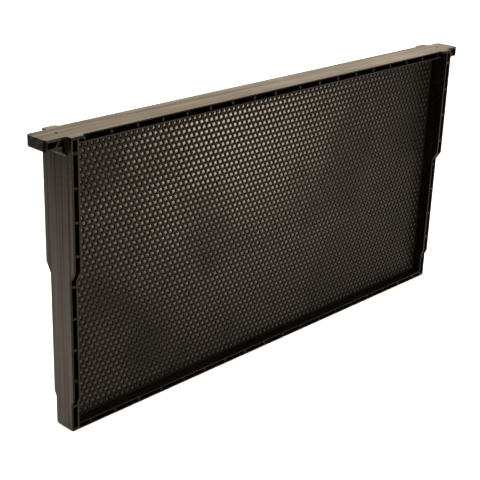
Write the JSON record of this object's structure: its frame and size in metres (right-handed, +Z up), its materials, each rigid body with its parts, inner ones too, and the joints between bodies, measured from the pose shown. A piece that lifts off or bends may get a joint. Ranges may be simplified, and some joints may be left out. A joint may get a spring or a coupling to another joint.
{
  "type": "hive frame",
  "caption": "Deep hive frame of ribbed channel bars with a lug at each end, holding a wax-coated, cell-embossed foundation sheet for bees to build comb on.",
  "frame": {"origin": "middle of the underside, on the plane the frame stands on", "axes": "+X along the bars, lug to lug; +Y through the thickness; +Z up towards the top bar"},
  "size_m": [0.4826, 0.033, 0.232],
  "materials": {
    "frame_plastic": "satin black, lightly scuffed",
    "foundation_plastic": "semi-gloss black",
    "beeswax": "thin uneven beeswax over black, soft sheen"
  },
  "bodies": {
    "root": {"top_bar": "frame_plastic", "end_bar_left": "frame_plastic", "end_bar_right": "frame_plastic", "bottom_bar": "frame_plastic", "foundation_sheet": "foundation_plastic", "wax_coating_front": "beeswax", "wax_coating_back": "beeswax"}
  },
  "joints": []
}
